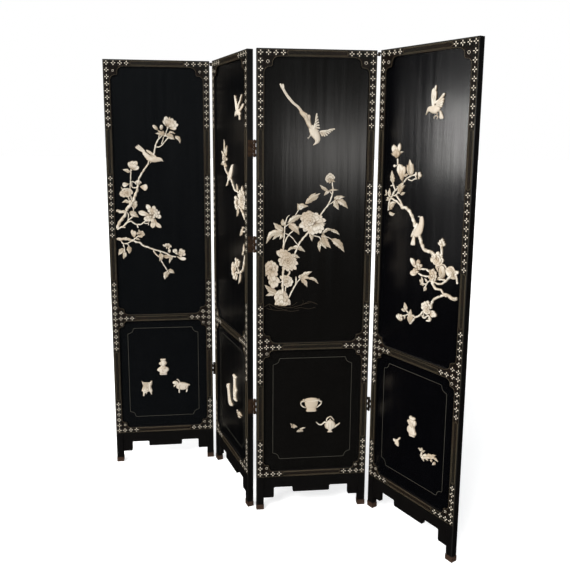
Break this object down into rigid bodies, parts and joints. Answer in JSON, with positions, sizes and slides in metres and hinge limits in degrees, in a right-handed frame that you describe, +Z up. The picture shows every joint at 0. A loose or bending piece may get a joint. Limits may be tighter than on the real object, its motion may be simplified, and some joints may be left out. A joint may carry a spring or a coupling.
{
  "type": "folding screen",
  "caption": "Free-standing folding screen of lacquered frame-and-panel leaves on butt hinges, with applied bird, flower and vessel carvings and metal foot caps.",
  "frame": {"origin": "on the floor, at the middle of the bottom of the whole zig-zag in the pictured pose", "axes": "+Z up; +X along the row of leaves, to the right as seen from the front; +Y from the front towards the back"},
  "size_m": [1.4116, 0.7946, 1.83],
  "materials": {
    "frame_lacquer": "dark brown-black lacquer, satin, rubbed at the edges",
    "panel_lacquer": "near-black lacquer, satin, long soft reflections",
    "carved_stone": "warm ivory carved stone, soft polish, tan shading in the cuts",
    "aged_brass": "dark patinated brass with worn highlights"
  },
  "bodies": {
    "leaf_1": {"stile_left_1": "frame_lacquer", "stile_right_1": "frame_lacquer", "top_rail_1": "frame_lacquer", "middle_rail_1": "frame_lacquer", "bottom_rail_1": "frame_lacquer", "upper_panel_1": "panel_lacquer", "lower_panel_1": "panel_lacquer", "apron_1": "frame_lacquer", "corner_spandrels_1": "frame_lacquer", "foot_caps_1": "aged_brass", "carvings_1": "carved_stone", "hinge_screws_1": "aged_brass", "hinge_plates_1_right": "aged_brass"},
    "leaf_2": {"stile_left_2": "frame_lacquer", "stile_right_2": "frame_lacquer", "top_rail_2": "frame_lacquer", "middle_rail_2": "frame_lacquer", "bottom_rail_2": "frame_lacquer", "upper_panel_2": "panel_lacquer", "lower_panel_2": "panel_lacquer", "apron_2": "frame_lacquer", "corner_spandrels_2": "frame_lacquer", "foot_caps_2": "aged_brass", "carvings_2": "carved_stone", "hinge_screws_2": "aged_brass", "hinge_plates_2_left": "aged_brass", "hinge_plates_2_right": "aged_brass", "hinge_pins_1_2": "aged_brass"},
    "leaf_3": {"stile_left_3": "frame_lacquer", "stile_right_3": "frame_lacquer", "top_rail_3": "frame_lacquer", "middle_rail_3": "frame_lacquer", "bottom_rail_3": "frame_lacquer", "upper_panel_3": "panel_lacquer", "lower_panel_3": "panel_lacquer", "apron_3": "frame_lacquer", "corner_spandrels_3": "frame_lacquer", "foot_caps_3": "aged_brass", "carvings_3": "carved_stone", "hinge_screws_3": "aged_brass", "hinge_plates_3_left": "aged_brass", "hinge_plates_3_right": "aged_brass", "hinge_pins_2_3": "aged_brass", "hinge_pins_3_4": "aged_brass"},
    "leaf_4": {"stile_left_4": "frame_lacquer", "stile_right_4": "frame_lacquer", "top_rail_4": "frame_lacquer", "middle_rail_4": "frame_lacquer", "bottom_rail_4": "frame_lacquer", "upper_panel_4": "panel_lacquer", "lower_panel_4": "panel_lacquer", "apron_4": "frame_lacquer", "corner_spandrels_4": "frame_lacquer", "foot_caps_4": "aged_brass", "carvings_4": "carved_stone", "hinge_screws_4": "aged_brass", "hinge_plates_4_left": "aged_brass"}
  },
  "joints": [
    {"name": "hinge_2_3", "type": "hinge", "parent": "leaf_3", "child": "leaf_2", "pos_m": [-0.04088, -0.0432, 0], "axis": [0, 0, -1], "range_deg": [-73.1, 106.9]},
    {"name": "hinge_1_2", "type": "hinge", "parent": "leaf_2", "child": "leaf_1", "pos_m": [-0.24901, 0.37035, 0], "axis": [0, 0, 1], "range_deg": [-73.9, 106.1]},
    {"name": "hinge_3_4", "type": "hinge", "parent": "leaf_3", "child": "leaf_4", "pos_m": [0.42169, -0.02394, 0], "axis": [0, 0, -1], "range_deg": [-61.2, 118.8]}
  ]
}
